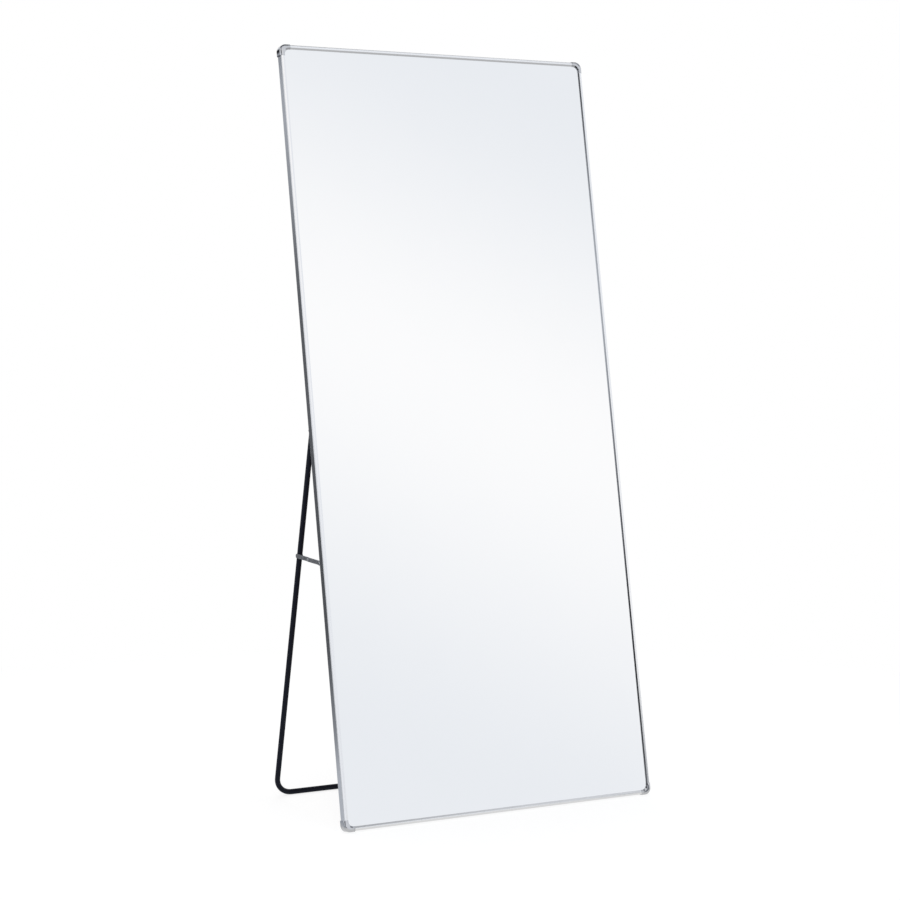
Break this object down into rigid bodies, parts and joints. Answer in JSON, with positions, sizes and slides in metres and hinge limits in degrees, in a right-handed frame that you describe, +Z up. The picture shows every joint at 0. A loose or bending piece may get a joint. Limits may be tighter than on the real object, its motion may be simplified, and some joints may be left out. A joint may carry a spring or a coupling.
{
  "type": "floor mirror",
  "caption": "Full-length mirror in a thin aluminium frame with rounded corner caps, leaning on a folding U-shaped tube stand with side stays.",
  "frame": {"origin": "middle of the footprint, on the floor", "axes": "+X across the mirror to the viewer's right, +Y from the mirror's front to the stand behind it, +Z up"},
  "size_m": [0.817, 0.4212, 1.777],
  "materials": {
    "anodised_aluminium": "satin",
    "chrome_cap": "polished",
    "silvered_glass": "polished",
    "white_foam": "matte",
    "fibre_board": "matte",
    "grey_strip": "matte",
    "black_steel": "satin",
    "black_plastic": "matte",
    "white_nylon": "satin",
    "zinc_steel": "satin"
  },
  "bodies": {
    "mirror": {"backing_board": "fibre_board", "backing_foam": "white_foam", "corner_cap_bottom_left": "chrome_cap", "corner_cap_bottom_right": "chrome_cap", "corner_cap_top_left": "chrome_cap", "corner_cap_top_right": "chrome_cap", "corner_screws": "zinc_steel", "glazing_strip_bottom": "grey_strip", "glazing_strip_left": "grey_strip", "glazing_strip_right": "grey_strip", "glazing_strip_top": "grey_strip", "hanger_plate_left": "zinc_steel", "hanger_plate_right": "zinc_steel", "hanger_screws": "zinc_steel", "hinge_bolt_left": "black_steel", "hinge_bolt_right": "black_steel", "hinge_bracket_left": "black_steel", "hinge_bracket_right": "black_steel", "hinge_nut_left": "black_steel", "hinge_nut_right": "black_steel", "hinge_screws": "zinc_steel", "hinge_washer_left": "white_nylon", "hinge_washer_right": "white_nylon", "mirror_glass": "silvered_glass", "rail_bottom": "anodised_aluminium", "rail_left": "anodised_aluminium", "rail_right": "anodised_aluminium", "rail_top": "anodised_aluminium", "stay_bracket_left": "zinc_steel", "stay_bracket_right": "zinc_steel", "stay_rail_rivet_left": "zinc_steel", "stay_rail_rivet_right": "zinc_steel", "stay_screws": "zinc_steel"},
    "stand": {"stand_tube": "black_steel", "tube_plug_left": "black_plastic", "tube_plug_right": "black_plastic", "stay_leg_rivet_left": "zinc_steel", "stay_leg_rivet_right": "zinc_steel"},
    "stay_front_left": {"stay_front_link_left": "zinc_steel", "stay_knee_rivet_left": "zinc_steel"},
    "stay_rear_left": {"stay_rear_link_left": "zinc_steel", "stay_knee_shank_left": "zinc_steel"},
    "stay_front_right": {"stay_front_link_right": "zinc_steel", "stay_knee_rivet_right": "zinc_steel"},
    "stay_rear_right": {"stay_rear_link_right": "zinc_steel", "stay_knee_shank_right": "zinc_steel"}
  },
  "joints": [
    {"name": "stand_fold", "type": "hinge", "parent": "mirror", "child": "stand", "pos_m": [0, -0.01139, 0.88924], "axis": [-1, 0, 0], "range_deg": [0, 24.43]},
    {"name": "stay_front_fold_left", "type": "hinge", "parent": "mirror", "child": "stay_front_left", "pos_m": [-0.4015, -0.07114, 0.59135], "axis": [1, 0, 0], "range_deg": [0, 76.63]},
    {"name": "stay_rear_fold_left", "type": "hinge", "parent": "stand", "child": "stay_rear_left", "pos_m": [-0.3998, 0.0607, 0.59412], "axis": [-1, 0, 0], "range_deg": [0, 76.01]},
    {"name": "stay_front_fold_right", "type": "hinge", "parent": "mirror", "child": "stay_front_right", "pos_m": [0.4015, -0.07114, 0.59135], "axis": [1, 0, 0], "range_deg": [0, 76.63]},
    {"name": "stay_rear_fold_right", "type": "hinge", "parent": "stand", "child": "stay_rear_right", "pos_m": [0.3998, 0.0607, 0.59412], "axis": [-1, 0, 0], "range_deg": [0, 76.01]}
  ],
  "couplings": [
    {"joint": "stay_front_fold_left", "follows": "stand_fold", "ratio": 3.1368},
    {"joint": "stay_rear_fold_left", "follows": "stand_fold", "ratio": 3.1112},
    {"joint": "stay_front_fold_right", "follows": "stand_fold", "ratio": 3.1368},
    {"joint": "stay_rear_fold_right", "follows": "stand_fold", "ratio": 3.1112}
  ]
}
